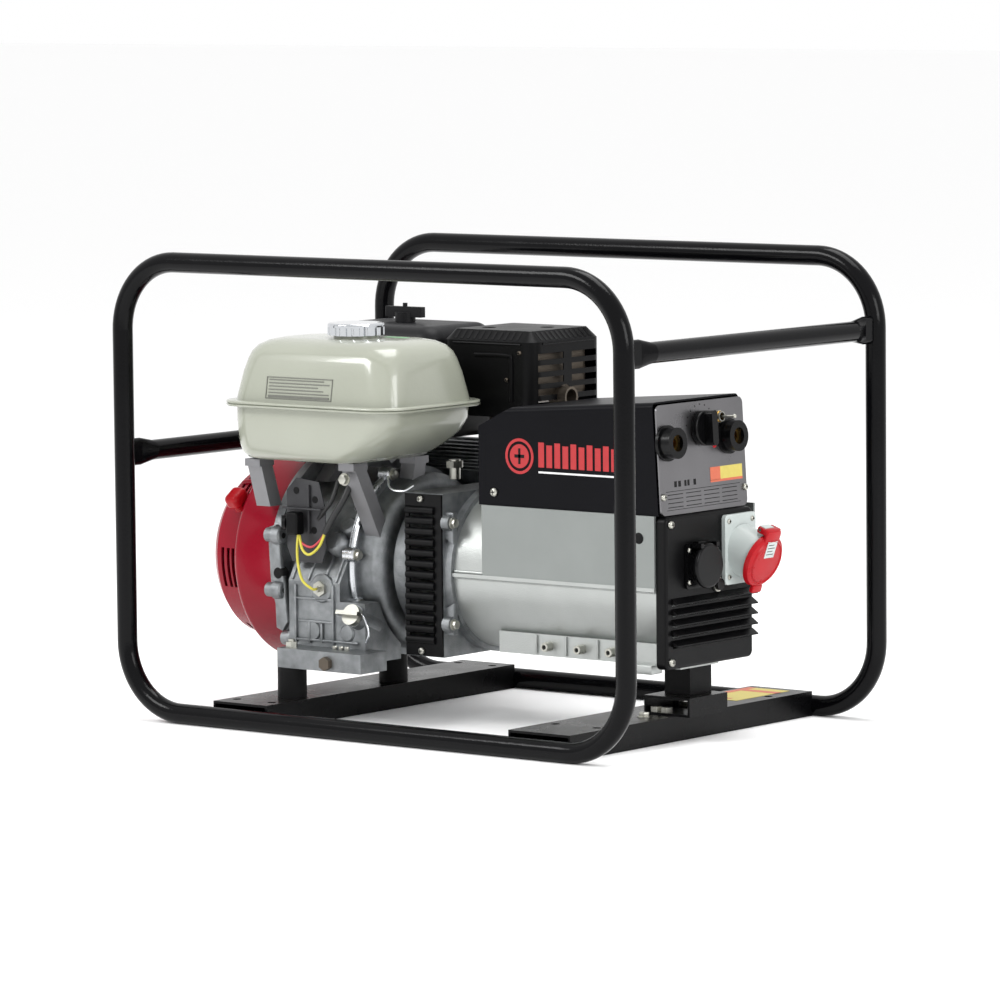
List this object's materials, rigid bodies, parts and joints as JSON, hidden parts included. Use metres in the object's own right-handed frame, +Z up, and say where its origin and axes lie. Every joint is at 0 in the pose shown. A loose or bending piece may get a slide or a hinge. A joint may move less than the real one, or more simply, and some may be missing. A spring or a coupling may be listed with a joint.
{
  "type": "engine driven welder",
  "caption": "Petrol engine with fuel tank, recoil starter and muffler driving a welding alternator with a socket panel, carried in an open frame of two rounded tube loops.",
  "frame": {"origin": "middle of the footprint, on the floor", "axes": "+X along the crankshaft to the socket panel, +Y to the cylinder side, +Z up"},
  "size_m": [0.8, 0.53, 0.58],
  "materials": {
    "front_loop": "gloss black paint",
    "rear_loop": "gloss black paint",
    "left_cross_tube": "gloss black paint",
    "right_cross_tube": "gloss black paint",
    "left_base_channel": "satin black paint",
    "right_base_channel": "satin black paint",
    "alternator_bridge": "satin black paint",
    "alternator_foot": "black rubber",
    "engine_mounts": "black rubber",
    "mount_bolts": "zinc plated steel",
    "crankcase": "cast aluminium",
    "crankcase_cover": "cast aluminium",
    "cylinder_head": "cast aluminium",
    "rocker_cover": "black paint",
    "spark_plug": "black plastic",
    "fan_shroud": "gloss red paint",
    "recoil_case": "gloss red paint",
    "recoil_pulley": "black plastic",
    "starter_rope": "braided cord",
    "starter_grip": "red plastic",
    "flywheel": "cast aluminium",
    "crankshaft": "zinc plated steel",
    "fuel_tank_upper": "gloss cream paint",
    "fuel_tank_lower": "gloss cream paint",
    "fuel_cap": "chrome plate",
    "tank_brackets": "silver paint",
    "fuel_pipe": "cast zinc",
    "air_cleaner_base": "black plastic",
    "air_cleaner_cover": "black plastic",
    "air_cleaner_knob": "black plastic",
    "carburettor": "cast aluminium",
    "choke_lever": "black plastic",
    "fuel_valve_lever": "black plastic",
    "muffler": "heat stained steel",
    "muffler_guard": "satin black paint",
    "engine_switch_box": "black plastic",
    "engine_switch_knob": "red plastic",
    "dipstick": "cast zinc",
    "drain_plug": "brass",
    "oil_switch": "zinc plated steel",
    "engine_leads": "yellow insulation",
    "adapter_housing": "cast aluminium",
    "adapter_grilles": "black plastic",
    "alternator_housing": "cast aluminium",
    "alternator_side_plates": "cast aluminium",
    "stator": "zinc plated steel",
    "rotor": "zinc plated steel",
    "control_box": "satin black paint",
    "control_panel": "stainless sheet",
    "weld_sockets": "black plastic",
    "weld_contacts": "brass",
    "selector_knob": "black plastic",
    "toggle_lever": "zinc plated steel",
    "panel_fittings": "zinc plated steel",
    "end_cover": "black plastic",
    "schuko_socket": "black plastic",
    "schuko_lid": "black plastic",
    "cee_socket": "white plastic",
    "cee_lid": "red plastic",
    "breaker_button": "black plastic"
  },
  "bodies": {
    "machine": {"front_loop": "front_loop", "rear_loop": "rear_loop", "left_cross_tube": "left_cross_tube", "right_cross_tube": "right_cross_tube", "left_base_channel": "left_base_channel", "right_base_channel": "right_base_channel", "alternator_bridge": "alternator_bridge", "alternator_foot": "alternator_foot", "engine_mounts": "engine_mounts", "mount_bolts": "mount_bolts", "crankcase": "crankcase", "crankcase_cover": "crankcase_cover", "cylinder_head": "cylinder_head", "rocker_cover": "rocker_cover", "spark_plug": "spark_plug", "fan_shroud": "fan_shroud", "recoil_case": "recoil_case", "fuel_tank_upper": "fuel_tank_upper", "fuel_tank_lower": "fuel_tank_lower", "tank_brackets": "tank_brackets", "fuel_pipe": "fuel_pipe", "air_cleaner_base": "air_cleaner_base", "air_cleaner_cover": "air_cleaner_cover", "carburettor": "carburettor", "muffler": "muffler", "muffler_guard": "muffler_guard", "engine_switch_box": "engine_switch_box", "drain_plug": "drain_plug", "oil_switch": "oil_switch", "engine_leads": "engine_leads", "adapter_housing": "adapter_housing", "adapter_grilles": "adapter_grilles", "alternator_housing": "alternator_housing", "alternator_side_plates": "alternator_side_plates", "stator": "stator", "control_box": "control_box", "control_panel": "control_panel", "weld_sockets": "weld_sockets", "weld_contacts": "weld_contacts", "panel_fittings": "panel_fittings", "end_cover": "end_cover", "schuko_socket": "schuko_socket", "cee_socket": "cee_socket"},
    "rotating_group": {"crankshaft": "crankshaft", "flywheel": "flywheel", "rotor": "rotor"},
    "pulley_body": {"recoil_pulley": "recoil_pulley"},
    "grip_body": {"starter_grip": "starter_grip", "starter_rope": "starter_rope"},
    "fuel_cap_body": {"fuel_cap": "fuel_cap"},
    "air_knob_body": {"air_cleaner_knob": "air_cleaner_knob"},
    "choke_body": {"choke_lever": "choke_lever"},
    "fuel_tap_body": {"fuel_valve_lever": "fuel_valve_lever"},
    "switch_knob_body": {"engine_switch_knob": "engine_switch_knob"},
    "dipstick_body": {"dipstick": "dipstick"},
    "selector_body": {"selector_knob": "selector_knob"},
    "toggle_body": {"toggle_lever": "toggle_lever"},
    "breaker_body": {"breaker_button": "breaker_button"},
    "schuko_lid_body": {"schuko_lid": "schuko_lid"},
    "cee_lid_body": {"cee_lid": "cee_lid"}
  },
  "joints": [
    {"name": "crank_spin", "type": "hinge", "parent": "machine", "child": "rotating_group", "pos_m": [0, 0, 0.19], "axis": [1, 0, 0], "continuous": true},
    {"name": "grip_pull", "type": "slide", "parent": "machine", "child": "grip_body", "axis": [0, -0.5736, 0.8192], "range_m": [0, 0.15], "stiffness_N_per_m": 60, "springref_m": -0.1},
    {"name": "pulley_turn", "type": "hinge", "parent": "machine", "child": "pulley_body", "pos_m": [-0.332, 0, 0.19], "axis": [1, 0, 0], "range_deg": [-195, 5]},
    {"name": "fuel_cap_turn", "type": "hinge", "parent": "machine", "child": "fuel_cap_body", "pos_m": [-0.145, -0.095, 0.48], "axis": [0, 0, 1], "range_deg": [0, 90]},
    {"name": "air_knob_turn", "type": "hinge", "parent": "machine", "child": "air_knob_body", "pos_m": [-0.214, 0.084, 0.485], "axis": [0, 0, 1], "continuous": true},
    {"name": "choke_turn", "type": "hinge", "parent": "machine", "child": "choke_body", "pos_m": [-0.214, 0.154, 0.326], "axis": [0, 1, 0], "range_deg": [0, 40]},
    {"name": "fuel_tap_turn", "type": "hinge", "parent": "machine", "child": "fuel_tap_body", "pos_m": [-0.214, 0.154, 0.3], "axis": [0, 1, 0], "range_deg": [-30, 0]},
    {"name": "engine_switch_turn", "type": "hinge", "parent": "machine", "child": "switch_knob_body", "pos_m": [-0.207, -0.153, 0.245], "axis": [1, 0, 0], "range_deg": [0, 60]},
    {"name": "dipstick_turn", "type": "hinge", "parent": "machine", "child": "dipstick_body", "pos_m": [-0.112, -0.145, 0.135], "axis": [0, -0.9267, 0.3757], "continuous": true},
    {"name": "selector_turn", "type": "hinge", "parent": "machine", "child": "selector_body", "pos_m": [0.32423, -0.012, 0.37592], "axis": [0.9982, 0, 0.0593], "range_deg": [-60, 60]},
    {"name": "toggle_tip", "type": "hinge", "parent": "machine", "child": "toggle_body", "pos_m": [0.31356, 0.0215, 0.3868], "axis": [0, 1, 0], "range_deg": [-12, 12]},
    {"name": "breaker_pop", "type": "slide", "parent": "machine", "child": "breaker_body", "axis": [1, 0, 0], "range_m": [0, 0.005]},
    {"name": "schuko_lid_open", "type": "hinge", "parent": "machine", "child": "schuko_lid_body", "pos_m": [0.338, -0.036, 0.24], "axis": [0, -1, 0], "range_deg": [0, 100], "stiffness_Nm_per_rad": 0.03, "springref_deg": -28.65},
    {"name": "cee_lid_open", "type": "hinge", "parent": "machine", "child": "cee_lid_body", "pos_m": [0.37143, 0.048, 0.25282], "axis": [0, -1, 0], "range_deg": [0, 105], "stiffness_Nm_per_rad": 0.06, "springref_deg": -28.65}
  ],
  "couplings": [
    {"joint": "pulley_turn", "follows": "grip_pull", "rad_per_m": -22.222}
  ]
}
